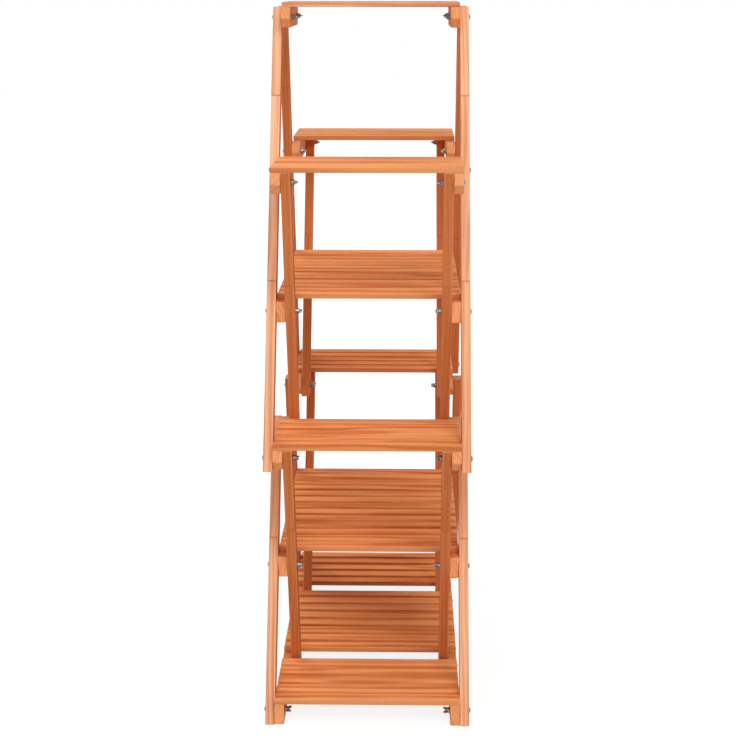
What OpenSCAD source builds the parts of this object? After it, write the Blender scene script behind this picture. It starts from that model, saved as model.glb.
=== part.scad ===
// Plant ladder stand: crossed legs at both ends carry slatted shelves at several heights.
// X runs across the stand, Y along it with the near end at -Y, and Z is up from the floor.

/* [Stand] */
// Width over the outside legs
stand_w = 300; // [270:1:420]
// Length over the end shelves
stand_l = 720; // [690:1:900]

/* [Shelf heights] */
// Surface of the top shelf above the floor
top_h = 1047; // [960:1:1200]
// Surface of the upper end shelves above the floor
upper_h = 821; // [780:1:880]
// Surface of the middle end shelves above the floor
mid_h = 421; // [380:1:460]

/* [Legs] */
// Width of a leg across its broad face
leg_w = 30; // [26:0.5:34]
// Thickness of a leg
leg_t = 14; // [10:0.5:18]
// Distance along the stand between the near and far bolts under the top shelf
top_bolts = 118.3; // [80:0.1:160]
// From an end shelf's outer end to the bolt beside it
end_inset = 22; // [19:0.5:28]
// Gap between a middle end shelf's last slat and the leg that passes it
mid_clear = 2; // [1:0.5:6]
// Gap between a floor shelf's last slat and the foot that passes it
foot_clear = 5; // [2:0.5:6]

/* [Cleats] */
// Height of a cleat
cleat_h = 31; // [28:0.5:36]
// Thickness of a cleat
cleat_t = 14; // [10:0.5:18]
// Length of an end shelf's cleat past its inner bolt
cleat_tail = 19; // [16:0.5:26]
// Length of a long shelf's cleat past its crossing bolt
long_tail = 12; // [10:0.5:20]
// Length of the top shelf's cleat past its slats
top_tail = 24; // [18:0.5:30]
// Size of the slanted cut under a short cleat's end
end_cut = 13.5; // [8:0.5:15]

/* [Slats] */
// Width of a slat
slat_w = 25.5; // [22:0.5:28]
// Thickness of a slat
slat_t = 7.5; // [6:0.5:9]
// Gap between two slats
slat_gap = 11; // [9:0.5:13]
// Slats on each end shelf
end_slats = 5; // [5:1:6]
// Slats on the top shelf
top_slats = 5; // [5:1:6]
// Least gap between a long shelf's first slat and the leg beside it
long_clear = 8; // [5:0.5:12]

/* [Bolts and wing nuts] */
// Diameter of a bolt's shank
bolt_d = 5; // [4:0.5:6]
// Diameter of a bolt's head
head_d = 10; // [9:0.5:12]
// Height of a bolt's domed head
head_h = 2.8; // [2:0.2:4]
// Length of shank that shows past the wing nut
bolt_tip = 1.5; // [0.5:0.5:3]
// Radial room round a shank in the wood
hole_clear = 0.25; // [0.1:0.05:0.4]
// Diameter of a washer
washer_d = 11; // [10:0.5:13]
// Thickness of a washer
washer_t = 1; // [0.8:0.1:1.5]
// Diameter of a wing nut's hub at its foot
hub_d = 9; // [8:0.5:10]
// Diameter of the hub at its top
hub_top_d = 7.5; // [7:0.5:8]
// Height of the hub
hub_h = 5; // [4:0.5:6]
// Distance over both wings
wing_span = 21; // [18:0.5:23]
// Thickness of a wing
wing_t = 1.8; // [1.2:0.2:2.4]
// Radius of a wing's rounded end
wing_r = 2.8; // [2:0.2:3.2]
// Height of a wing's end above the hub's foot
wing_h = 8.8; // [7.5:0.1:10]
// Radial running clearance of a wing nut on its bolt
thread_clear = 0.05; // [0.02:0.01:0.1]

/* [Brads] */
// Diameter of the headless brads that hold the slats down
brad_d = 1.2; // [1:0.1:1.6]
// Length of a brad
brad_l = 18; // [15:0.5:18]
// Radial room round a brad
brad_clear = 0.05; // [0.02:0.01:0.1]

/* [Hidden] */
SIDES = ["left", "right"];
ENDS = ["near", "far"];
$fn = 48;
eps = 0.5;

// Layers across one side, from the outside legs in to the inside legs
outside_x = stand_w / 2;
cleat_x = outside_x - leg_t;
inside_x = cleat_x - cleat_t;
inner_face_x = inside_x - leg_t;
slat_l = 2 * cleat_x;

// Heights of the bolts, which sit on the cleats' centre lines
bolt_drop = slat_t + cleat_h / 2;
floor_h = slat_t + cleat_h;
top_z = top_h - bolt_drop;
upper_z = upper_h - bolt_drop;
mid_z = mid_h - bolt_drop;
foot_z = floor_h - bolt_drop;

// A leg that leans by `lean` along Y for each unit of height, cut level, is this wide in half
function half_cut(lean) = leg_w / 2 * sqrt(1 + lean * lean);

// Near-end bolts that the upper legs lean by: from the middle end shelf in to the top shelf
end_y = end_inset - stand_l / 2;
top_y = -top_bolts / 2;
upper_lean = (top_y - end_y) / (top_z - mid_z);
upper_rise = upper_z - mid_z;
upper_span = upper_lean * upper_rise;
inner_y = end_y + upper_span;

// An end shelf's slats share out the run from its outer end to the leg that passes them
end_run = end_inset + upper_span - upper_lean * bolt_drop - half_cut(upper_lean) - mid_clear;
end_pitch = (end_run - slat_w) / (end_slats - 1);

// The inner foot's bolt is where its leg passes the floor shelf's last slat, found step by step
SPAN_STEPS = 8;
lower_rise = mid_z - foot_z;
function span_past(clear, span = end_run, steps = SPAN_STEPS) =
    steps == 0 ? span : span_past(clear,
        (end_run + clear + half_cut(span / lower_rise) - end_inset) / (1 - bolt_drop / lower_rise), steps - 1);
foot_span = span_past(foot_clear);
foot_y = end_y + foot_span;

// Crossings of the legs, where the long shelves are bolted
cross_upper_y = end_y + upper_span / 2;
cross_upper_z = (upper_z + mid_z) / 2;
outside_lean = upper_span / lower_rise;
inside_lean = foot_span / lower_rise;
cross_rise = foot_span / (outside_lean + inside_lean);
cross_lower_z = foot_z + cross_rise;
cross_lower_y = end_y + outside_lean * cross_rise;
upper_middle_h = cross_upper_z + bolt_drop;
lower_middle_h = cross_lower_z + bolt_drop;

// Slats that fit between the near and far legs on the long shelves and the middle floor shelf
pitch = slat_w + slat_gap;
upper_room = -2 * (cross_upper_y + half_cut(upper_lean) + long_clear - upper_lean * bolt_drop);
lower_room = -2 * (cross_lower_y + half_cut(inside_lean) + long_clear - inside_lean * bolt_drop);
floor_room = -2 * (foot_y + half_cut(inside_lean) + foot_clear - inside_lean * cleat_h / 2);
function slats_in(room) = floor((room + slat_gap) / pitch);
upper_middle_slats = slats_in(upper_room);
lower_middle_slats = slats_in(lower_room);
floor_middle_slats = slats_in(floor_room);

// Near-end bolts: name, Y, Z, the face under the head and the face under the washer
AXES = [
    ["top", top_y, top_z, outside_x, inside_x],
    ["upper_end", end_y, upper_z, cleat_x, inner_face_x],
    ["upper_centre", inner_y, upper_z, outside_x, inside_x],
    ["cross_upper", cross_upper_y, cross_upper_z, outside_x, inner_face_x],
    ["mid_end", end_y, mid_z, outside_x, inner_face_x],
    ["mid_centre", inner_y, mid_z, outside_x, inner_face_x],
    ["cross_lower", cross_lower_y, cross_lower_z, outside_x, inner_face_x],
    ["foot_end", end_y, foot_z, outside_x, inside_x],
    ["foot_centre", foot_y, foot_z, cleat_x, inner_face_x],
];

// Legs: name, lower bolt, upper bolt, inner face, foot height, head height, bolts through it
LEGS = [
    ["upper_outside", "mid_end", "top", cleat_x, mid_h - floor_h, top_h - slat_t,
        ["mid_end", "cross_upper", "upper_centre", "top"]],
    ["upper_inside", "mid_centre", "upper_end", inner_face_x, mid_h - floor_h, upper_h - slat_t,
        ["mid_centre", "cross_upper", "upper_end"]],
    ["lower_outside", "foot_end", "mid_centre", cleat_x, 0, mid_h - slat_t,
        ["foot_end", "cross_lower", "mid_centre"]],
    ["lower_inside", "foot_centre", "mid_end", inner_face_x, 0, mid_h - slat_t,
        ["foot_centre", "cross_lower", "mid_end"]],
];

// Shelves: name, surface height, low Y of the slats, slats, low and high Y of the cleats,
// whether the cleats' ends are cut slanted, and whether the shelf has a twin at the far end
near_y = -stand_l / 2;
function run_of(count) = count * pitch - slat_gap;
function centred(count) = -run_of(count) / 2;
top_half = run_of(top_slats) / 2 + top_tail;
upper_half = long_tail - cross_upper_y;
lower_half = long_tail - cross_lower_y;
SHELVES = [
    ["top", top_h, centred(top_slats), top_slats, -top_half, top_half, true, false],
    ["upper_end", upper_h, near_y, end_slats, near_y, inner_y + cleat_tail, true, true],
    ["upper_middle", upper_middle_h, centred(upper_middle_slats), upper_middle_slats,
        -upper_half, upper_half, false, false],
    ["mid_end", mid_h, near_y, end_slats, near_y, inner_y + cleat_tail, true, true],
    ["lower_middle", lower_middle_h, centred(lower_middle_slats), lower_middle_slats,
        -lower_half, lower_half, false, false],
    ["floor_end", floor_h, near_y, end_slats, near_y, near_y, false, true],
    ["floor_middle", floor_h, centred(floor_middle_slats), floor_middle_slats,
        near_y, -near_y, false, false],
];

function ends_of(shelf) = shelf[7] ? ENDS : [""];
function full_name(name, end) = end == "" ? name : str(name, "_", end);
function has_cleats(shelf) = shelf[5] > shelf[4];

PALE_WOOD = "#f3b686";
SLAT_WOOD = "#dd8f58";
CLEAT_WOOD = "#d98a54";
DARK_WOOD = "#b9673a";
STEEL = "#8d8f8e";

function axis_named(name) = [for (axis = AXES) if (axis[0] == name) axis][0];

// Pieces are drawn at the near right, and turned over for the other side and the other end
module on_side(side) {
    if (side == "left") mirror([1, 0, 0]) children();
    else children();
}

module at_end(end) {
    if (end == "far") mirror([0, 1, 0]) children();
    else children();
}

// A prism from an outline in Y and Z, from x_low up by thickness
module across(x_low, thickness) {
    translate([x_low, 0, 0]) rotate([90, 0, 90]) linear_extrude(thickness) children();
}

// Bolt holes through one layer
module bolt_holes(names, x_low, thickness) {
    for (name = names) {
        axis = axis_named(name);
        translate([x_low - eps, axis[1], axis[2]])
            rotate([0, 90, 0]) cylinder(h = thickness + 2 * eps, d = bolt_d + 2 * hole_clear);
    }
}

// One leaning leg: a batten cut level at both ends, bored for its bolts
module leg(leg) {
    low = axis_named(leg[1]);
    high = axis_named(leg[2]);
    lean = (high[1] - low[1]) / (high[2] - low[2]);
    half = half_cut(lean);
    foot_mid = low[1] + lean * (leg[4] - low[2]);
    head_mid = low[1] + lean * (leg[5] - low[2]);
    difference() {
        across(leg[3], leg_t) polygon([
            [foot_mid - half, leg[4]], [foot_mid + half, leg[4]],
            [head_mid + half, leg[5]], [head_mid - half, leg[5]]]);
        bolt_holes(leg[6], leg[3], leg_t);
    }
}

// Places of a shelf's slats along Y, at their middles
function pitch_of(shelf) = shelf[7] ? end_pitch : pitch;
function slat_mids(shelf) = [for (i = [0 : shelf[3] - 1]) shelf[2] + slat_w / 2 + i * pitch_of(shelf)];

// Brads at both ends of a slat, down through it into the cleats
brad_x = cleat_x - cleat_t / 2;
module brads_at(shelf, radius, length) {
    for (mid = slat_mids(shelf), side = [-1, 1])
        translate([side * brad_x, mid, shelf[1] - length]) cylinder(h = length, r = radius, $fn = 16);
}

// The slats of one shelf
module slats(shelf) {
    color(SLAT_WOOD) difference() {
        for (mid = slat_mids(shelf))
            translate([-cleat_x, mid - slat_w / 2, shelf[1] - slat_t]) cube([slat_l, slat_w, slat_t]);
        translate([0, 0, eps]) brads_at(shelf, brad_d / 2 + brad_clear, slat_t + 2 * eps);
    }
}

// Outline of a cleat, with its lower corners cut slanted where the shelf asks for it
module cleat_outline(shelf) {
    top = shelf[1] - slat_t;
    low = top - cleat_h;
    slanted = [[shelf[4], top], [shelf[4], low + end_cut], [shelf[4] + end_cut, low],
        [shelf[5] - end_cut, low], [shelf[5], low + end_cut], [shelf[5], top]];
    square = [[shelf[4], top], [shelf[4], low], [shelf[5], low], [shelf[5], top]];
    polygon(shelf[6] ? slanted : square);
}

// Bolts through each shelf's cleats: those at the near end, and those at the far end
function near_bolts(shelf) =
    shelf[0] == "top" ? ["top"] :
    shelf[0] == "upper_end" ? ["upper_end", "upper_centre"] :
    shelf[0] == "upper_middle" ? ["cross_upper"] :
    shelf[0] == "mid_end" ? ["mid_end", "mid_centre"] :
    shelf[0] == "lower_middle" ? ["cross_lower"] : ["foot_end", "foot_centre"];
function far_bolts(shelf) = shelf[7] ? [] : near_bolts(shelf);

// The shelves whose brads reach these cleats: the floor rails carry three shelves
module brad_holes(shelf) {
    length = brad_l + eps;
    radius = brad_d / 2 + brad_clear;
    if (shelf[0] == "floor_middle") {
        for (floor_shelf = SHELVES) if (floor_shelf[1] == floor_h) for (end = ends_of(floor_shelf))
            at_end(end) brads_at(floor_shelf, radius, length);
    }
    else brads_at(shelf, radius, length);
}

// The left and right cleats of one shelf
module cleats(shelf) {
    color(CLEAT_WOOD) for (side = SIDES) on_side(side) difference() {
        across(inside_x, cleat_t) cleat_outline(shelf);
        bolt_holes(near_bolts(shelf), inside_x, cleat_t);
        at_end("far") bolt_holes(far_bolts(shelf), inside_x, cleat_t);
        brad_holes(shelf);
    }
}

// One bolt with a domed head, its shank pointing down from the head's seat
dome_r = (head_d * head_d / 4 + head_h * head_h) / (2 * head_h);
module bolt(length) {
    intersection() {
        translate([0, 0, head_h - dome_r]) sphere(dome_r);
        cylinder(h = head_h, d = head_d);
    }
    translate([0, 0, -length]) cylinder(h = length + eps, d = bolt_d);
}

module bolts() {
    color(STEEL) for (axis = AXES, end = ENDS, side = SIDES) on_side(side) at_end(end)
        translate([axis[3], axis[1], axis[2]]) rotate([0, 90, 0])
            bolt(axis[3] - axis[4] + washer_t + hub_h + bolt_tip);
}

module washers() {
    color(STEEL) for (axis = AXES, end = ENDS, side = SIDES) on_side(side) at_end(end)
        translate([axis[4], axis[1], axis[2]]) rotate([0, -90, 0]) difference() {
            cylinder(h = washer_t, d = washer_d);
            translate([0, 0, -eps]) cylinder(h = washer_t + 2 * eps, d = bolt_d + 2 * hole_clear);
        }
}

// One wing nut standing on its foot: a tapered hub with two rounded wings that flare up and out
web_slant = 55;
web_foot = 0.6;
module wing_nut() {
    lobe = [wing_span / 2 - wing_r, wing_h - wing_r];
    reach = wing_r * [cos(web_slant), -sin(web_slant)];
    hub_in = bolt_d / 2 + thread_clear + eps / 2;
    difference() {
        union() {
            cylinder(h = hub_h, d1 = hub_d, d2 = hub_top_d);
            for (turn = [0, 180]) rotate([0, 0, turn]) rotate([90, 0, 0])
                translate([0, 0, -wing_t / 2]) linear_extrude(wing_t) {
                    translate(lobe) circle(wing_r);
                    polygon([[hub_in, web_foot], lobe + reach, lobe - reach, [hub_in, hub_h]]);
                }
        }
        translate([0, 0, -eps]) cylinder(h = wing_h + 2 * eps, d = bolt_d + 2 * thread_clear);
    }
}

// The left and right wing nuts of one bolt line, wings along the stand
module wing_nuts(axis, end) {
    color(STEEL) for (side = SIDES) on_side(side) at_end(end)
        translate([axis[4] - washer_t, axis[1], axis[2]]) rotate([0, -90, 0])
            rotate([0, 0, 90]) wing_nut();
}

module slat_brads() {
    color(STEEL) for (shelf = SHELVES, end = ends_of(shelf)) at_end(end)
        brads_at(shelf, brad_d / 2, brad_l);
}

for (leg = LEGS, end = ENDS, side = SIDES)
    color(leg[3] == cleat_x ? PALE_WOOD : DARK_WOOD) on_side(side) at_end(end) leg(leg);
for (shelf = SHELVES, end = ends_of(shelf))
    at_end(end) slats(shelf);
for (shelf = SHELVES) if (has_cleats(shelf)) for (end = ends_of(shelf))
    at_end(end) cleats(shelf);
for (axis = AXES, end = ENDS)
    wing_nuts(axis, end);
bolts();
washers();
slat_brads();
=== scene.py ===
"""A plant ladder stand: stained softwood battens held together by bolts and wing nuts."""
from collections import namedtuple
import math
import random

import bmesh
import bpy
from mathutils import Matrix, Vector


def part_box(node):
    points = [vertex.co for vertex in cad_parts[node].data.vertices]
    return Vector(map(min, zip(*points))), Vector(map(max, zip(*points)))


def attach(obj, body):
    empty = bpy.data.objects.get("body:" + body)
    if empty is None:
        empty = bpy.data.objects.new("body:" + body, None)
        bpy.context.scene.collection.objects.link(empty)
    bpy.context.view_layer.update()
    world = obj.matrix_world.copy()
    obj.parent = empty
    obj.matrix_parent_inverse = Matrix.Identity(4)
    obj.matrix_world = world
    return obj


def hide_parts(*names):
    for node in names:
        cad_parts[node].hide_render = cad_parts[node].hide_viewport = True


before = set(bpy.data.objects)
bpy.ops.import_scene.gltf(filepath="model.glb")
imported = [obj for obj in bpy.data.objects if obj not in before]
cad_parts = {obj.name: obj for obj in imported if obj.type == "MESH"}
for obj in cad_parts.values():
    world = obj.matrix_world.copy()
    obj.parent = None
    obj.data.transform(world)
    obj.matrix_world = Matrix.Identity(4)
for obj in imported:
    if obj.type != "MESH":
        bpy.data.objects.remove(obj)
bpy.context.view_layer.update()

# ---------------------------------------------------------------------------------------------
# Legs: sixteen battens of softwood, each glued up from short lengths with finger joints. They
# are planed with eased edges, sawn level at foot and head, stained orange and clear-coated, and
# bolted to the cleats' faces where they lean past them.
LEG_EDGE = 0.0015
SAWN_EDGE = 0.0005
EDGE_STEPS = 3
SPARE_LENGTH = 0.03
LEG_PALE = (0.66, 0.205, 0.066)
LEG_DARK = (0.50, 0.126, 0.031)
# The colour of thinner stain, also of the painted light on sawn ends and on the outside legs' upper faces.
LEG_WORN_AND_LIT = (0.97, 0.548, 0.330)
LEG_RINGS = 0.0065
LEG_CONTRAST = 0.7
LEG_GLOSS = 0.05
LEG_ROUGHNESS = 0.62

# Points within a hair of each other are level or flush, and touching ones are the same.
HAIR = 0.00005
TOUCHING = 0.000001

# How far apart the finger joints are along a batten, and how far each leg's first one is from
# its head.
JOINT_SPACING = 0.29
FIRST_JOINTS = {"upper_outside_near": 0.155, "upper_outside_far": 0.142, "upper_inside_near": 0.187,
                "upper_inside_far": 0.197, "lower_outside_near": 0.191, "lower_outside_far": 0.202,
                "lower_inside_near": 0.149, "lower_inside_far": 0.246}

# How much paler eased edges (thinner stain), sawn ends (thinner stain and painted light) and the
# outside legs' upward faces (painted light) are, and how much of that shows in pale and dark grain.
EASED, SAWN, PAINTED_UPWARD_LIGHT = 0.25, 0.9, 1.0
PALING_BY_GRAIN = (0.95, 0.25)

# How much painted shade lies on the foot and on the head of each outside leg, taking back part
# of the painted light there. The inside legs get no painted light.
PAINTED_LEG_SHADE = {"upper_outside": (0.22, 0.0), "lower_outside": (0.08, 0.5)}
# The colour of the painted shade on the slats' sides.
SIDE_SHADE_COLOUR = (0.36, 0.110, 0.035)

# How nearly a face must look along a direction to count as looking that way.
SQUARE_ON, LEVEL_CUT, UPWARD = 0.6, 0.999, 0.2
UP, FARWARD = Vector((0, 0, 1)), Vector((0, 1, 0))

# Each batten draws a number up to this one, and the number picks its places in the log.
BATTEN_NUMBERS = 50
wood_dice = random.Random(11)


def nodes_named(start):
    """The names of the CAD nodes that start so, in the order of the alphabet."""
    return sorted(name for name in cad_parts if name.startswith(start))


def link_node(tree, kind, inputs=(), **settings):
    """One shader node, with each input given a value or fed by another node's socket."""
    made = tree.nodes.new("ShaderNode" + kind)
    for name, value in settings.items():
        setattr(made, name, value)
    for socket, value in dict(inputs).items():
        if isinstance(value, bpy.types.NodeSocket):
            tree.links.new(value, made.inputs[socket])
        else:
            made.inputs[socket].default_value = value
    return made


def reckon(tree, operation, *values):
    """The result of a Math node."""
    return link_node(tree, "Math", dict(enumerate(values)), operation=operation).outputs[0]


def multiply(tree, first, *others):
    """All of these values multiplied together."""
    for value in others:
        first = reckon(tree, "MULTIPLY", first, value)
    return first


def spread(tree, value, low, high):
    """A value from 0 to 1 spread evenly between two others."""
    return link_node(tree, "MapRange", {"Value": value, "To Min": low, "To Max": high}).outputs["Result"]


def ramp_between(tree, value, low, high, start=0.0, end=1.0):
    """A smooth step from start to end while value goes from low to high."""
    made = link_node(tree, "MapRange", {"Value": value, "From Min": low, "From Max": high,
                     "To Min": start, "To Max": end}, interpolation_type="SMOOTHSTEP")
    return made.outputs["Result"]


# Which sockets of a Mix node hold its two colours and their mixture.
MIX_FIRST, MIX_SECOND, MIXTURE = 6, 7, 2


def mix_colours(tree, factor, first, second):
    """The colour between two others."""
    made = link_node(tree, "Mix", {"Factor": factor}, data_type="RGBA")
    for place, colour in ((MIX_FIRST, first), (MIX_SECOND, second)):
        if isinstance(colour, bpy.types.NodeSocket):
            tree.links.new(colour, made.inputs[place])
        else:
            made.inputs[place].default_value = (*colour, 1)
    return made.outputs[MIXTURE]


def stretched_noise(tree, place, stretch, detail=2.0, roughness=0.5):
    """Noise along wood coordinates, with its own number of features per metre on each axis."""
    scaled = link_node(tree, "VectorMath", {0: place, 1: stretch}, operation="MULTIPLY")
    noise = link_node(tree, "TexNoise", {"Vector": scaled.outputs[0], "Scale": 1.0,
                      "Detail": detail, "Roughness": roughness})
    return noise.outputs["Fac"]


def shader_group(name, inputs, outputs):
    """An empty node group with its sockets, and its two end nodes."""
    group = bpy.data.node_groups.new(name, "ShaderNodeTree")
    for label, (kind, value) in inputs.items():
        socket = group.interface.new_socket(label, in_out="INPUT", socket_type="NodeSocket" + kind)
        socket.default_value = value
    for label, kind in outputs.items():
        group.interface.new_socket(label, in_out="OUTPUT", socket_type="NodeSocket" + kind)
    return group, group.nodes.new("NodeGroupInput"), group.nodes.new("NodeGroupOutput")


# How long and how far apart a joint's fingers are, how far they are shifted across the batten,
# and how far from its middle a glue line starts and stops fading.
FINGER_LENGTH = 0.009
FINGER_PITCH = 0.0038
ZIGZAG_SHIFT = 1.0
GLUE_LINE = (0.0003, 0.0016)


def make_finger_joint_group():
    """Divides a batten into glued lengths, each from its own place in the log."""
    group, given, result = shader_group(
        "finger_joints",
        {"Grain": ("Vector", (0, 0, 0)), "Batten": ("Float", 0.0), "Spacing": ("Float", 1.0),
         "Finger": ("Float", FINGER_LENGTH), "Pitch": ("Float", FINGER_PITCH)},
        {"Log": "Vector", "Glue Line": "Float"})
    axes = link_node(group, "SeparateXYZ", {0: given.outputs["Grain"]})
    half_pitch = reckon(group, "MULTIPLY", given.outputs["Pitch"], 0.5)
    across = reckon(group, "ADD", axes.outputs["Y"], ZIGZAG_SHIFT)
    zigzag = reckon(group, "DIVIDE", reckon(group, "PINGPONG", across, half_pitch), half_pitch)
    run = reckon(group, "MULTIPLY_ADD", zigzag, given.outputs["Finger"], axes.outputs["X"])
    count = reckon(group, "DIVIDE", run, given.outputs["Spacing"])
    index = reckon(group, "FLOOR", count)
    seed = link_node(group, "CombineXYZ", {"X": index, "Y": given.outputs["Batten"]})
    log = link_node(group, "TexWhiteNoise", {"Vector": seed.outputs[0]}, noise_dimensions="3D")
    to_joint = reckon(group, "MULTIPLY", reckon(group, "PINGPONG", count, 0.5), given.outputs["Spacing"])
    group.links.new(log.outputs["Color"], result.inputs["Log"])
    group.links.new(ramp_between(group, to_joint, *GLUE_LINE, 1.0, 0.0), result.inputs["Glue Line"])
    return group


# Where in the log a length was cut: how far aside of the pith, how far from it, and along it.
PITH_ASIDE = (-0.04, 0.04)
PITH_DEPTH = (0.018, 0.065)
LOG_LENGTH = 9.0

# The wood's waves, fibres, streaks and clouds of stain, per metre along the wood and across it,
# and how far the waves bend the rings.
WAVES = (1.8, 9, 9)
WAVE_HEIGHT = 0.05
FIBRES = (26, 850, 850)
STREAKS = (2.6, 42, 42)
CLOUDS = (5, 28, 28)

# Where in a ring the latewood sets in and where it ends, and how dark the palest year's is.
RING_RISE = (0.05, 0.7)
RING_FALL = (0.75, 1.0)
PALEST_YEAR = 0.3

# How much darker each of them makes the wood, with the latewood's mean taken off, and how high
# the fibres and the latewood stand.
LATEWOOD_SHARE, LATEWOOD_MEAN = 0.85, 0.28
FIBRE_SHARE, STREAK_SHARE, CLOUD_SHARE, LOG_SHARE = 0.5, 1.5, 1.3, 0.3
MEAN_DARKNESS = 0.36
GLUE_SHARE = 0.5
FIBRE_HEIGHT, LATEWOOD_HEIGHT = -0.5, 0.4


def make_softwood_group():
    """Growth rings cut at a place in the log, with fibres, long streaks and cloudy stain."""
    group, given, result = shader_group(
        "softwood",
        {"Grain": ("Vector", (0, 0, 0)), "Log": ("Vector", (0.5, 0.5, 0.5)), "Ring": ("Float", 0.004),
         "Pale": ("Color", (1, 1, 1, 1)), "Dark": ("Color", (0, 0, 0, 1)), "Contrast": ("Float", 1.0),
         "Glue Line": ("Float", 0.0)},
        {"Color": "Color", "Darkness": "Float", "Latewood": "Float", "Height": "Float"})
    log = link_node(group, "SeparateXYZ", {0: given.outputs["Log"]}).outputs
    shift = link_node(group, "CombineXYZ", {"X": reckon(group, "MULTIPLY", log["Z"], LOG_LENGTH),
                      "Y": spread(group, log["X"], *PITH_ASIDE), "Z": spread(group, log["Y"], *PITH_DEPTH)})
    place = link_node(group, "VectorMath", {0: given.outputs["Grain"], 1: shift.outputs[0]}).outputs[0]
    across = link_node(group, "VectorMath", {0: place, 1: (0, 1, 1)}, operation="MULTIPLY").outputs[0]
    radius = link_node(group, "VectorMath", {0: across}, operation="LENGTH").outputs["Value"]
    waved = reckon(group, "MULTIPLY_ADD", stretched_noise(group, place, WAVES), WAVE_HEIGHT, radius)
    rings = reckon(group, "DIVIDE", waved, given.outputs["Ring"])
    phase = reckon(group, "FRACT", rings)
    rise = ramp_between(group, phase, *RING_RISE)
    fall = ramp_between(group, phase, *RING_FALL, 1.0, 0.0)
    year = link_node(group, "TexWhiteNoise", {"W": reckon(group, "FLOOR", rings)}, noise_dimensions="1D")
    latewood = multiply(group, rise, fall, spread(group, year.outputs["Value"], PALEST_YEAR, 1.0))
    fibres = stretched_noise(group, place, FIBRES, detail=3.0, roughness=0.6)
    streaks = stretched_noise(group, place, STREAKS)
    clouds = stretched_noise(group, place, CLOUDS)
    dark = reckon(group, "MULTIPLY_ADD", latewood, LATEWOOD_SHARE, -LATEWOOD_MEAN)
    for layer, share in ((fibres, FIBRE_SHARE), (streaks, STREAK_SHARE), (clouds, CLOUD_SHARE),
                         (log["Z"], LOG_SHARE)):
        dark = reckon(group, "MULTIPLY_ADD", reckon(group, "SUBTRACT", layer, 0.5), share, dark)
    dark = reckon(group, "MULTIPLY_ADD", dark, given.outputs["Contrast"], MEAN_DARKNESS)
    dark = reckon(group, "MULTIPLY_ADD", given.outputs["Glue Line"], GLUE_SHARE, dark)
    relief = reckon(group, "MULTIPLY", latewood, LATEWOOD_HEIGHT)
    found = {"Color": mix_colours(group, dark, given.outputs["Pale"], given.outputs["Dark"]),
             "Darkness": dark, "Latewood": latewood,
             "Height": reckon(group, "MULTIPLY_ADD", fibres, FIBRE_HEIGHT, relief)}
    for label, socket in found.items():
        group.links.new(socket, result.inputs[label])
    return group


finger_joints = make_finger_joint_group()
softwood = make_softwood_group()

# How much of the bare wood shows at a glue line, how much smoother the latewood is, and how
# strongly and how deep the grain is felt.
GLUED = 0.62
LATEWOOD_SHINE = -0.08
GRAIN_STRENGTH, GRAIN_DEPTH = 0.5, 0.0002


def stained_wood(name, pale, dark, worn_and_lit, ring, contrast, gloss, rough, joint_spacing=JOINT_SPACING):
    """Stained and clear-coated softwood that follows the battens' own wood coordinates."""
    material = bpy.data.materials.new(name)
    material.use_nodes = True
    tree = material.node_tree
    grain = link_node(tree, "Attribute", attribute_name="grain").outputs["Vector"]
    batten, thin_and_lit, side_shading, shaded = (link_node(tree, "Attribute", attribute_name=mark).outputs["Fac"]
                                   for mark in ("batten", "thin_stain", "thick_stain", "shaded"))
    joints = link_node(tree, "Group", {"Grain": grain, "Batten": batten, "Spacing": joint_spacing},
                       node_tree=finger_joints).outputs
    wood = link_node(tree, "Group", {"Grain": grain, "Log": joints["Log"], "Glue Line": joints["Glue Line"],
                     "Ring": ring, "Pale": (*pale, 1), "Dark": (*dark, 1), "Contrast": contrast},
                     node_tree=softwood).outputs
    # The paling mixes thinner stain with painted light: on the outside legs' upward faces, on the sawn ends
    # and on the slats' outer sides. Painted shade takes part of it back along the outside legs, and darkens
    # the slats' sides.
    unglued = ramp_between(tree, joints["Glue Line"], 0.0, 1.0, 1.0, GLUED)
    grain_share = ramp_between(tree, wood["Darkness"], 0.0, 1.0, *PALING_BY_GRAIN)
    out_of_shade = reckon(tree, "SUBTRACT", 1.0, shaded)
    paling = multiply(tree, thin_and_lit, grain_share, unglued, out_of_shade)
    side_shaded = mix_colours(tree, side_shading, wood["Color"], SIDE_SHADE_COLOUR)
    roughness = reckon(tree, "MULTIPLY_ADD", wood["Latewood"], LATEWOOD_SHINE, rough)
    bump = link_node(tree, "Bump", {"Strength": GRAIN_STRENGTH, "Distance": GRAIN_DEPTH,
                     "Height": wood["Height"]})
    shader = tree.nodes["Principled BSDF"].inputs
    tree.links.new(mix_colours(tree, paling, side_shaded, worn_and_lit), shader["Base Color"])
    tree.links.new(roughness, shader["Roughness"])
    tree.links.new(bump.outputs[0], shader["Normal"])
    shader["Specular IOR Level"].default_value = gloss
    return material


def ease_edges(bm, edges, width):
    """Rounds these edges and marks the rounding, where the stain is thinner."""
    marks = bm.faces.layers.float.get("thin_stain") or bm.faces.layers.float.new("thin_stain")
    made = bmesh.ops.bevel(bm, geom=edges, offset=width, offset_type="OFFSET", affect="EDGES",
                           segments=EDGE_STEPS, profile=0.5, material=-1, clamp_overlap=True)
    for face in made["faces"]:
        face.smooth = True
        face[marks] = EASED


def mark_faces(bm, change, amount, *directions, least=SQUARE_ON):
    """Marks faces looking one of these ways: they get at least this much paling or painted shade."""
    marks = bm.faces.layers.float.get(change) or bm.faces.layers.float.new(change)
    bm.normal_update()
    for face in bm.faces:
        if any(face.normal.dot(direction) > least for direction in directions):
            face[marks] = max(face[marks], amount)


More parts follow.
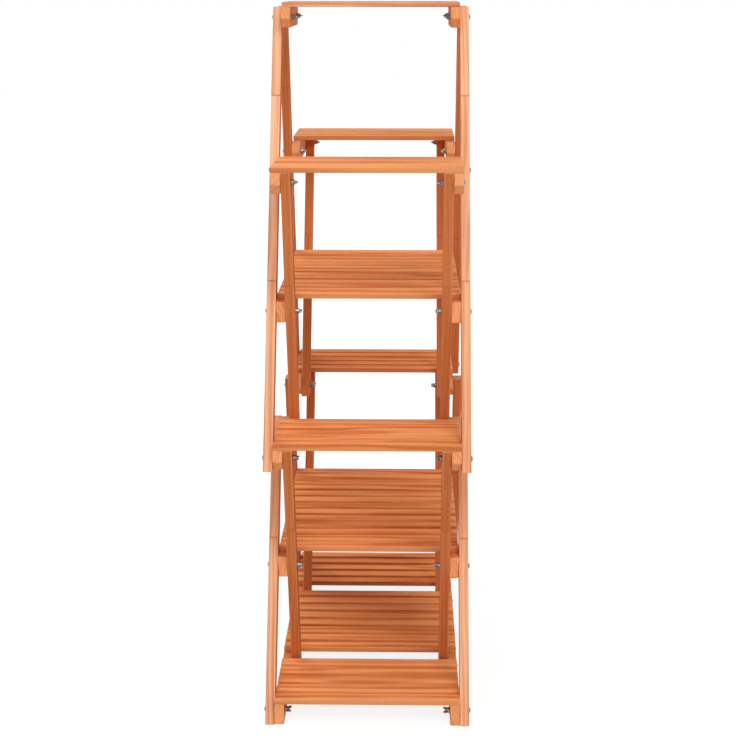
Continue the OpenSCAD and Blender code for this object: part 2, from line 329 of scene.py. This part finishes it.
def mark_grain(bm, start):
    """Marks the sawn ends, and gives the batten its number and its wood coordinates.

    The batten lies along Z here, and start is how far its middle is from its first joint.
    """
    # Sawn ends are painted paler: thinner stain, and painted light.
    mark_faces(bm, "thin_stain", SAWN, UP, -UP)
    grain = bm.verts.layers.float_vector.new("grain")
    batten = bm.verts.layers.float.new("batten")
    number = wood_dice.uniform(0, BATTEN_NUMBERS)
    for vert in bm.verts:
        vert[grain] = (start - vert.co.z, vert.co.y, vert.co.x)
        vert[batten] = number


def add_piece(name, bm, material, body, node):
    """Makes the finished mesh a piece that rides its body in place of a CAD node."""
    mesh = bpy.data.meshes.new(name)
    bm.to_mesh(mesh)
    bm.free()
    mesh.materials.append(material)
    piece = bpy.data.objects.new(name, mesh)
    bpy.context.scene.collection.objects.link(piece)
    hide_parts(node)
    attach(piece, body)


def plank(depth, width, length):
    """A plain batten along Z with its middle at the origin."""
    bm = bmesh.new()
    bmesh.ops.create_cube(bm, size=1.0)
    bmesh.ops.scale(bm, vec=(depth, width, length), verts=bm.verts)
    return bm


def saw_off(bm, place, outwards):
    """Cuts the batten through at a plane and closes the cut."""
    everything = bm.verts[:] + bm.edges[:] + bm.faces[:]
    cut = bmesh.ops.bisect_plane(bm, geom=everything, dist=TOUCHING, plane_co=place,
                                 plane_no=outwards, clear_outer=True)
    edges = [item for item in cut["geom_cut"] if isinstance(item, bmesh.types.BMEdge)]
    bmesh.ops.contextual_create(bm, geom=edges)


def paint_leg_light(bm, tier, foot_height, head_height):
    """Paints light on a leg's upward faces, and painted shade that changes along it from foot to head."""
    mark_faces(bm, "thin_stain", PAINTED_UPWARD_LIGHT, UP, least=UPWARD)
    at_foot, at_head = PAINTED_LEG_SHADE[tier]
    shaded = bm.verts.layers.float.new("shaded")
    for vert in bm.verts:
        share = (vert.co.z - foot_height) / (head_height - foot_height)
        vert[shaded] = at_foot + (at_head - at_foot) * share


def make_leg(node):
    """One leg: a straight batten, sawn level at both ends and leaned into its place."""
    low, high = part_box(node)
    corners = [vert.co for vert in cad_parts[node].data.vertices]
    foot_ys = [co.y for co in corners if co.z < low.z + HAIR]
    head_ys = [co.y for co in corners if co.z > high.z - HAIR]
    foot = Vector(((low.x + high.x) / 2, (min(foot_ys) + max(foot_ys)) / 2, low.z))
    head = Vector((foot.x, (min(head_ys) + max(head_ys)) / 2, high.z))
    lean = math.atan2(head.y - foot.y, head.z - foot.z)
    length = (head - foot).length
    width = (max(foot_ys) - min(foot_ys)) * math.cos(lean)
    bm = plank(high.x - low.x, width, length + 2 * SPARE_LENGTH)
    ease_edges(bm, bm.edges[:], LEG_EDGE)
    level = Vector((0, -math.sin(lean), math.cos(lean)))
    saw_off(bm, (0, 0, length / 2), level)
    saw_off(bm, (0, 0, -length / 2), -level)
    ends = [face for face in bm.faces if abs(face.normal.dot(level)) > LEVEL_CUT]
    ease_edges(bm, list({edge for face in ends for edge in face.edges}), SAWN_EDGE)
    layer = node.removeprefix("leg_").rsplit("_", 1)[0]
    mark_grain(bm, length / 2 - FIRST_JOINTS[layer])
    place = Matrix.Translation((foot + head) / 2) @ Matrix.Rotation(-lean, 4, "X")
    bmesh.ops.transform(bm, matrix=place, verts=bm.verts)
    # Only the outside legs get painted light on their upward faces, with painted shade along them.
    tier = layer.rsplit("_", 1)[0]
    if tier in PAINTED_LEG_SHADE:
        paint_leg_light(bm, tier, foot.z, head.z)
    return bm


leg_wood = stained_wood("leg_wood", LEG_PALE, LEG_DARK, LEG_WORN_AND_LIT, LEG_RINGS, LEG_CONTRAST, LEG_GLOSS,
                        LEG_ROUGHNESS)
for leg in nodes_named("leg_"):
    add_piece("planed_" + leg, make_leg(leg), leg_wood, "stand", leg)

# ---------------------------------------------------------------------------------------------
# Cleats: two battens under the slats of each shelf, between the two layers of legs. The end
# shelves' and the top shelf's have their lower corners cut slanted, the long ones are cut
# square, and the two on the floor run from end to end as rails.
CLEAT_EDGE = 0.0012
CLEAT_PALE = (0.78, 0.270, 0.090)
CLEAT_DARK = (0.56, 0.148, 0.038)
# The colour of thinner stain, also of the painted light on the sawn ends.
CLEAT_WORN_AND_LIT = (0.93, 0.400, 0.175)
CLEAT_RINGS = 0.0070
CLEAT_CONTRAST = 0.5
CLEAT_GLOSS = 0.1
CLEAT_ROUGHNESS = 0.6
SIDES = {"left": -1, "right": 1}
cleat_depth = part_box("leg_lower_outside_near_right")[0].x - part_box("leg_lower_inside_near_right")[1].x


def make_cleat(node, low, high, side):
    """The cleat on one side of the shelf that has this box."""
    length, height = high.y - low.y, high.z - low.z
    end_zs = [vert.co.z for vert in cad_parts[node].data.vertices if vert.co.y < low.y + HAIR]
    slant = min(end_zs) - low.z
    bm = plank(cleat_depth, height, length)
    if slant > HAIR:
        for end in (-1, 1):
            saw_off(bm, (0, -height / 2, end * (length / 2 - slant)), (0, -1, end))
    ease_edges(bm, bm.edges[:], CLEAT_EDGE)
    mark_grain(bm, wood_dice.uniform(0, JOINT_SPACING))
    middle = Vector((side * (high.x - cleat_depth / 2), (low.y + high.y) / 2, (low.z + high.z) / 2))
    # Y and Z change places, which leaves the faces inside out until they are reversed.
    lying = Matrix(((1, 0, 0, 0), (0, 0, 1, 0), (0, 1, 0, 0), (0, 0, 0, 1)))
    bmesh.ops.transform(bm, matrix=Matrix.Translation(middle) @ lying, verts=bm.verts)
    bmesh.ops.reverse_faces(bm, faces=bm.faces)
    return bm


cleat_wood = stained_wood("cleat_wood", CLEAT_PALE, CLEAT_DARK, CLEAT_WORN_AND_LIT, CLEAT_RINGS, CLEAT_CONTRAST,
                          CLEAT_GLOSS, CLEAT_ROUGHNESS)
for cleats in nodes_named("cleats_"):
    low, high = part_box(cleats)
    for side_name, side in SIDES.items():
        piece_name = cleats.replace("cleats", "planed_cleat") + "_" + side_name
        add_piece(piece_name, make_cleat(cleats, low, high, side), cleat_wood, "stand", cleats)

# ---------------------------------------------------------------------------------------------
# Slats: thin strips across each shelf with gaps between them, nailed down into the cleats. Each
# is one length of softwood, planed, eased along its edges and stained like the rest. Their sides
# carry painted shade, which darkens the gaps between them. Each shelf's two outer sides are painted
# a little darker and duller, but the top shelf's carry a painted highlight.
SLAT_EDGE = 0.0010
SLAT_SINK = 0.00004
SLAT_PALE = (0.93, 0.375, 0.130)
SLAT_DARK = (0.61, 0.152, 0.035)
# The colour of thinner stain, also of the painted light on the sawn ends and the top shelf's outer sides.
SLAT_WORN_AND_LIT = (0.84, 0.470, 0.290)
# How much paler each shelf's two outer sides are painted; the top shelf's carry a painted highlight.
OUTER_SIDE_PALING, TOP_SIDE_HIGHLIGHT = 0.15, 1.0
# How much painted shade darkens the slats' sides, and how much darker the outer sides are painted.
SLAT_SIDE_SHADE, OUTER_SIDE_DARKENING = 0.12, 0.4
SLAT_RINGS = 0.013
SLAT_CONTRAST = 1.15
SLAT_GLOSS = 0.03
SLAT_ROUGHNESS = 0.65

# A joint spacing so long that no joint falls within a slat, and the decimals of a metre to which
# the places of the slats' sides are read.
UNJOINTED = 50.0
DECIMALS = 5


def slat_sides(node, right_end):
    """The low and high Y of each slat of a shelf, read at the slats' right-hand ends."""
    corners = [vert.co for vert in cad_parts[node].data.vertices]
    sides = sorted({round(co.y, DECIMALS) for co in corners if co.x > right_end - HAIR})
    return list(zip(sides[::2], sides[1::2]))


def make_slat(low, high, outer_sides, outer_paling):
    """One slat between these corners, its wood running across the stand."""
    bm = plank(high.z - low.z - SLAT_SINK, high.y - low.y, high.x - low.x)
    ease_edges(bm, bm.edges[:], SLAT_EDGE)
    mark_grain(bm, UNJOINTED / 2)
    middle = (low + high) / 2 - Vector((0, 0, SLAT_SINK / 2))
    across = Matrix.Rotation(math.radians(90), 4, "Y")
    bmesh.ops.transform(bm, matrix=Matrix.Translation(middle) @ across, verts=bm.verts)
    # Painted shade on the slats' sides, darker on the shelf's outer sides, which also get paler paint.
    mark_faces(bm, "thick_stain", SLAT_SIDE_SHADE, FARWARD, -FARWARD)
    mark_faces(bm, "thick_stain", OUTER_SIDE_DARKENING, *outer_sides)
    mark_faces(bm, "thin_stain", outer_paling, *outer_sides)
    return bm


slat_wood = stained_wood("slat_wood", SLAT_PALE, SLAT_DARK, SLAT_WORN_AND_LIT, SLAT_RINGS, SLAT_CONTRAST,
                         SLAT_GLOSS, SLAT_ROUGHNESS, UNJOINTED)
for shelf in nodes_named("slats_"):
    low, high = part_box(shelf)
    sides = slat_sides(shelf, high.x)
    # The top shelf's outer sides carry a painted highlight.
    outer_paling = TOP_SIDE_HIGHLIGHT if shelf == "slats_top" else OUTER_SIDE_PALING
    for number, (start, end) in enumerate(sides, 1):
        outer_sides = [outwards for outermost, outwards in ((1, -FARWARD), (len(sides), FARWARD))
                       if number == outermost]
        slat = make_slat(Vector((low.x, start, low.z)), Vector((high.x, end, high.z)), outer_sides, outer_paling)
        piece_name = shelf.replace("slats", "planed_slat") + f"_{number}"
        add_piece(piece_name, slat, slat_wood, "stand", shelf)

# ---------------------------------------------------------------------------------------------
# Brads: thin headless nails through the slats' ends into the cleats, driven flush. Their tops
# are stopped with filler and stained over, so they hardly show.
FILLER_PALE = (0.66, 0.215, 0.068)
FILLER_DARK = (0.44, 0.115, 0.030)
FILLER_SPECKS = 1500.0
FILLER_ROUGHNESS = 0.75

filler = bpy.data.materials.new("stained_filler")
filler.use_nodes = True
filler_tree = filler.node_tree
filler_place = link_node(filler_tree, "TexCoord").outputs["Object"]
specks = link_node(filler_tree, "TexNoise", {"Vector": filler_place, "Scale": FILLER_SPECKS})
filler_shader = filler_tree.nodes["Principled BSDF"].inputs
filler_tree.links.new(mix_colours(filler_tree, specks.outputs["Fac"], FILLER_PALE, FILLER_DARK),
                      filler_shader["Base Color"])
filler_shader["Roughness"].default_value = FILLER_ROUGHNESS
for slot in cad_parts["slat_brads"].material_slots:
    slot.material = filler

# ---------------------------------------------------------------------------------------------
# Bolts: zinc-plated steel with a low domed head outside and a rolled thread at the inner end.
# They are turned here about Z, the thread as level rings and the head's seat at the origin, and
# then laid along X.
HEAD_RADIUS = 0.005
HEAD_HEIGHT = 0.0028
HEAD_RIM = 0.0004
DOME_STEPS = 8
SHANK_RADIUS = 0.0025
THREAD_PITCH = 0.0008
THREAD_DEPTH = 0.0003
THREAD_TURNS = 12
BOLT_SIDES = 32
RIM_STEPS = 2
PLATE_PALE = (0.42, 0.40, 0.365)
PLATE_DARK = (0.22, 0.205, 0.185)
TARNISH = (0.38, 0.66)
TARNISH_ROUGHNESS = 0.3
PLATE_STRENGTH, PLATE_DEPTH = 0.35, 0.00008

# Where a pair of nuts turns, and how far their feet are from the stand's middle.
BoltLine = namedtuple("BoltLine", "nuts y z foot")
bolt_lines = []
for nuts in nodes_named("wing_nuts_"):
    low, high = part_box(nuts)
    bolt_lines.append(BoltLine(nuts, (low.y + high.y) / 2, (low.z + high.z) / 2, high.x))


def plated_steel(name, mottle, grain, roughness):
    """Dull zinc plate with this many blotches per metre and this fine a surface grain."""
    material = bpy.data.materials.new(name)
    material.use_nodes = True
    tree = material.node_tree
    place = link_node(tree, "TexCoord").outputs["Object"]
    blotches = link_node(tree, "TexNoise", {"Vector": place, "Scale": mottle, "Detail": 4.0}).outputs["Fac"]
    fine = link_node(tree, "TexNoise", {"Vector": place, "Scale": grain}).outputs["Fac"]
    tarnish = ramp_between(tree, blotches, *TARNISH)
    bump = link_node(tree, "Bump", {"Strength": PLATE_STRENGTH, "Distance": PLATE_DEPTH, "Height": fine})
    shader = tree.nodes["Principled BSDF"].inputs
    tree.links.new(mix_colours(tree, tarnish, PLATE_PALE, PLATE_DARK), shader["Base Color"])
    tree.links.new(reckon(tree, "MULTIPLY_ADD", blotches, TARNISH_ROUGHNESS, roughness), shader["Roughness"])
    tree.links.new(bump.outputs[0], shader["Normal"])
    shader["Metallic"].default_value = 1.0
    return material


def turn_solid(bm, outline, closed):
    """Turns an outline of radius and height pairs about Z."""
    verts = [bm.verts.new((radius, 0, height)) for radius, height in outline]
    ends = verts[1:] + verts[:1] if closed else verts[1:]
    edges = [bm.edges.new(pair) for pair in zip(verts, ends)]
    bmesh.ops.spin(bm, geom=verts + edges, cent=(0, 0, 0), axis=(0, 0, 1), angle=math.tau,
                   steps=BOLT_SIDES, use_merge=True)
    bmesh.ops.remove_doubles(bm, verts=bm.verts[:], dist=TOUCHING)
    bmesh.ops.recalc_face_normals(bm, faces=bm.faces[:])


def round_corners(bm, edges, width):
    """Rounds the corners of a metal piece."""
    bmesh.ops.bevel(bm, geom=edges, offset=width, offset_type="OFFSET", affect="EDGES",
                    segments=RIM_STEPS, profile=0.5, material=-1, clamp_overlap=True)


def lay_along_x(bm, line, side, depth):
    """Lays a piece made along Z on a bolt line, with its +Z towards the stand's middle."""
    turned = Matrix(((0, 0, -side, side * depth), (1, 0, 0, line.y), (0, -side, 0, line.z), (0, 0, 0, 1)))
    bmesh.ops.transform(bm, matrix=turned, verts=bm.verts)
    for face in bm.faces:
        face.smooth = True


def join_meshes(parts, name):
    """One bmesh that holds all of these."""
    whole = bmesh.new()
    for part in parts:
        mesh = bpy.data.meshes.new(name)
        part.to_mesh(mesh)
        part.free()
        whole.from_mesh(mesh)
        bpy.data.meshes.remove(mesh)
    return whole


def make_bolt(length):
    """One bolt, its head below the origin and its thread's tip at this height."""
    dome_radius = (HEAD_RADIUS ** 2 + HEAD_HEIGHT ** 2) / (2 * HEAD_HEIGHT)
    widest = math.asin(HEAD_RADIUS / dome_radius)
    outline = []
    for step in range(DOME_STEPS + 1):
        angle = widest * step / DOME_STEPS
        outline.append((dome_radius * math.sin(angle), dome_radius * (1 - math.cos(angle)) - HEAD_HEIGHT))
    outline.append((SHANK_RADIUS, 0))
    for turn in range(THREAD_TURNS, 0, -1):
        outline.append((SHANK_RADIUS, length - turn * THREAD_PITCH))
        outline.append((SHANK_RADIUS - THREAD_DEPTH, length - (turn - 0.5) * THREAD_PITCH))
    outline.append((SHANK_RADIUS - THREAD_DEPTH, length))
    outline.append((0, length))
    bm = bmesh.new()
    turn_solid(bm, outline, closed=False)
    rim = [edge for edge in bm.edges
           if all(abs(vert.co.z) < HAIR and vert.co.xy.length > HEAD_RADIUS - HAIR for vert in edge.verts)]
    round_corners(bm, rim, HEAD_RIM)
    return bm


bolt_points = [vert.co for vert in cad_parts["bolts"].data.vertices]
made_bolts = []
for line in bolt_lines:
    for side in SIDES.values():
        depths = [side * co.x for co in bolt_points
                  if side * co.x > 0 and math.hypot(co.y - line.y, co.z - line.z) < HEAD_RADIUS + HAIR]
        seat = max(depths) - HEAD_HEIGHT
        bolt = make_bolt(seat - min(depths))
        lay_along_x(bolt, line, side, seat)
        made_bolts.append(bolt)
bolt_plate = plated_steel("bolt_plate", mottle=260.0, grain=2600.0, roughness=0.16)
add_piece("domed_bolts", join_meshes(made_bolts, "bolt"), bolt_plate, "stand", "bolts")

# ---------------------------------------------------------------------------------------------
# Washers: plain zinc-plated rings under the wing nuts, punched from sheet with softened rims.
# Each lies flat on the wood, and its inner face is a hair short of the nut, which turns on it.
WASHER_RADIUS = 0.0055
WASHER_THICKNESS = 0.001
WASHER_HOLE = 0.00275
WASHER_RIM = 0.0002
NUT_PLAY = 0.00003
SHARP = 1.0


def sharp_rims(bm):
    """The level edges of a turned piece whose two faces meet sharply."""
    return [edge for edge in bm.edges if abs(edge.verts[0].co.z - edge.verts[1].co.z) < HAIR
            and edge.calc_face_angle() > SHARP]


def make_washer():
    """One washer standing on its outer face."""
    inner_face = WASHER_THICKNESS - NUT_PLAY
    bm = bmesh.new()
    turn_solid(bm, ((WASHER_HOLE, 0), (WASHER_RADIUS, 0), (WASHER_RADIUS, inner_face),
                    (WASHER_HOLE, inner_face)), closed=True)
    round_corners(bm, sharp_rims(bm), WASHER_RIM)
    return bm


made_washers = []
for line in bolt_lines:
    for side in SIDES.values():
        washer = make_washer()
        lay_along_x(washer, line, side, line.foot + WASHER_THICKNESS)
        made_washers.append(washer)
add_piece("punched_washers", join_meshes(made_washers, "washer"), bolt_plate, "stand", "washers")

# ---------------------------------------------------------------------------------------------
# Wing nuts: cast in one piece, a tapered hub with two rounded wings that flare up and out from
# it, zinc-plated. The left and right ones of a bolt line turn together.
HUB_FOOT = 0.0045
HUB_TOP = 0.00375
HUB_HEIGHT = 0.005
HUB_RIM = 0.0004
NUT_BORE = 0.00255
WING_REACH = 0.0105
WING_HEIGHT = 0.0088
WING_ROUND = 0.0028
WING_THICKNESS = 0.0018
WING_RIM = 0.0006
WEB_FOOT = 0.0006
WEB_SLANT = math.radians(55)
WING_SIDES = 32


def add_wing(bm):
    """One wing: a round lobe whose hub side is drawn in to the hub, given its thickness.

    It gives back the wing's edges outside the bore.
    """
    made = bmesh.ops.create_circle(bm, cap_ends=True, radius=WING_ROUND, segments=WING_SIDES)
    along = Vector((math.cos(WEB_SLANT), -math.sin(WEB_SLANT)))
    inwards = Vector((-math.sin(WEB_SLANT), -math.cos(WEB_SLANT)))
    for vert in made["verts"]:
        offset = vert.co.xy
        share = (offset.dot(along) / WING_ROUND + 1) / 2
        if offset.dot(inwards) > HAIR:
            vert.co = (NUT_BORE, -WING_THICKNESS / 2, HUB_HEIGHT + (WEB_FOOT - HUB_HEIGHT) * share)
        else:
            vert.co = (WING_REACH - WING_ROUND + offset.x, -WING_THICKNESS / 2,
                       WING_HEIGHT - WING_ROUND + offset.y)
    lobe = list({face for vert in made["verts"] for face in vert.link_faces})
    grown = bmesh.ops.extrude_face_region(bm, geom=lobe)["geom"]
    raised = [item for item in grown if isinstance(item, bmesh.types.BMVert)]
    bmesh.ops.translate(bm, vec=(0, WING_THICKNESS, 0), verts=raised)
    flat_faces = lobe + [item for item in grown if isinstance(item, bmesh.types.BMFace)]
    return {edge for face in flat_faces for edge in face.edges
            if max(vert.co.x for vert in edge.verts) > NUT_BORE + HAIR}


def make_wing_nut():
    """One wing nut standing on its foot, with its wings along X."""
    bm = bmesh.new()
    turn_solid(bm, ((NUT_BORE, 0), (HUB_FOOT, 0), (HUB_TOP, HUB_HEIGHT), (NUT_BORE, HUB_HEIGHT)), closed=True)
    round_corners(bm, sharp_rims(bm), HUB_RIM)
    hub = set(bm.verts)
    round_corners(bm, list(add_wing(bm)), WING_RIM)
    wing = [vert for vert in bm.verts if vert not in hub]
    faces = list({face for vert in wing for face in vert.link_faces})
    copied = bmesh.ops.duplicate(bm, geom=wing + faces)["geom"]
    second = [item for item in copied if isinstance(item, bmesh.types.BMVert)]
    bmesh.ops.rotate(bm, cent=(0, 0, 0), matrix=Matrix.Rotation(math.pi, 3, "Z"), verts=second)
    bmesh.ops.recalc_face_normals(bm, faces=bm.faces[:])
    return bm


nut_plate = plated_steel("nut_plate", mottle=190.0, grain=1400.0, roughness=0.24)
for line in bolt_lines:
    pair = []
    for side in SIDES.values():
        nut = make_wing_nut()
        lay_along_x(nut, line, side, line.foot)
        pair.append(nut)
    add_piece("cast_" + line.nuts, join_meshes(pair, line.nuts), nut_plate, line.nuts, line.nuts)

# ---------------------------------------------------------------------------------------------
# The studio: a white floor that goes on into a white surround, a large softbox high in front of
# the near end and a smaller one behind.
FLOOR_SIZE = 30.0
SURROUND_LIGHT = 0.48
STAND_MIDDLE = (0, 0, 0.55)

# Light bounces off the floor as off grey paint. What is seen of it is darker paint, which takes
# the stand's shadow, under a glow that grows to full white between two distances from the middle.
FLOOR_BOUNCE = 0.7
FLOOR_SHADE = 0.20
FLOOR_GLOW = 0.85
GLOW_REACH = (0.5, 2.2)


def seen_as_background(tree):
    """1 where a ray from the camera, a reflection or glass looks, 0 where light is bounced."""
    path = link_node(tree, "LightPath").outputs
    mirrored = reckon(tree, "MAXIMUM", path["Is Glossy Ray"], path["Is Transmission Ray"])
    return reckon(tree, "MAXIMUM", path["Is Camera Ray"], mirrored)


def grey_paint(tree, level):
    """Matt paint of this grey."""
    return link_node(tree, "BsdfDiffuse", {"Color": (level, level, level, 1)}).outputs[0]


def add_softbox(name, place, size, watts):
    """A square area lamp that looks at the stand's middle."""
    lamp = bpy.data.lights.new(name, "AREA")
    lamp.shape = "SQUARE"
    lamp.size = size
    lamp.energy = watts
    softbox = bpy.data.objects.new(name, lamp)
    softbox.location = place
    aim = Vector(STAND_MIDDLE) - Vector(place)
    softbox.rotation_euler = aim.to_track_quat("-Z", "Y").to_euler()
    bpy.context.scene.collection.objects.link(softbox)


bpy.ops.mesh.primitive_plane_add(size=FLOOR_SIZE, location=(0, 0, 0))
floor = bpy.context.object
floor.name = "floor"
floor_look = bpy.data.materials.new("white_floor")
floor_look.use_nodes = True
floor_tree = floor_look.node_tree
floor_tree.nodes.clear()
floor_place = link_node(floor_tree, "TexCoord").outputs["Object"]
away = link_node(floor_tree, "VectorMath", {0: floor_place}, operation="LENGTH").outputs["Value"]
glow = ramp_between(floor_tree, away, *GLOW_REACH, FLOOR_GLOW, 1.0)
glowing = link_node(floor_tree, "Emission", {"Strength": glow})
shown = link_node(floor_tree, "AddShader", {0: grey_paint(floor_tree, FLOOR_SHADE), 1: glowing.outputs[0]})
look = link_node(floor_tree, "MixShader", {0: seen_as_background(floor_tree),
                 1: grey_paint(floor_tree, FLOOR_BOUNCE), 2: shown.outputs[0]})
link_node(floor_tree, "OutputMaterial", {"Surface": look.outputs[0]})
floor.data.materials.append(floor_look)

world = bpy.data.worlds.new("white_surround")
bpy.context.scene.world = world
world.use_nodes = True
sky = world.node_tree
background = sky.nodes["Background"].inputs
background["Color"].default_value = (1, 1, 1, 1)
sky.links.new(ramp_between(sky, seen_as_background(sky), 0.0, 1.0, SURROUND_LIGHT, 1.0),
              background["Strength"])

add_softbox("key_softbox", place=(0.9, -6.4, 6.4), size=5.1, watts=475)
add_softbox("rear_softbox", place=(-1.6, 2.4, 2.6), size=1.7, watts=50)

# ---------------------------------------------------------------------------------------------
# The camera: a little higher than the top shelf, 2.6 m before the near end and a little right
# of the middle, looking slightly down.
CAMERA_PLACE = (0.055, -2.96, 1.0764)
LOOK_DOWN = math.radians(9.49)
LOOK_LEFT = math.radians(1.18)
SENSOR_WIDTH = 36.0
LENS = 91.3
FRAME_SHIFT = -0.1

camera = bpy.data.cameras.new("camera")
camera.sensor_width = SENSOR_WIDTH
camera.lens = LENS
camera.shift_y = FRAME_SHIFT
viewer = bpy.data.objects.new("camera", camera)
viewer.location = CAMERA_PLACE
viewer.rotation_euler = (math.pi / 2 - LOOK_DOWN, 0, LOOK_LEFT)
bpy.context.scene.collection.objects.link(viewer)
bpy.context.scene.camera = viewer
bpy.context.scene.view_settings.view_transform = "Standard"
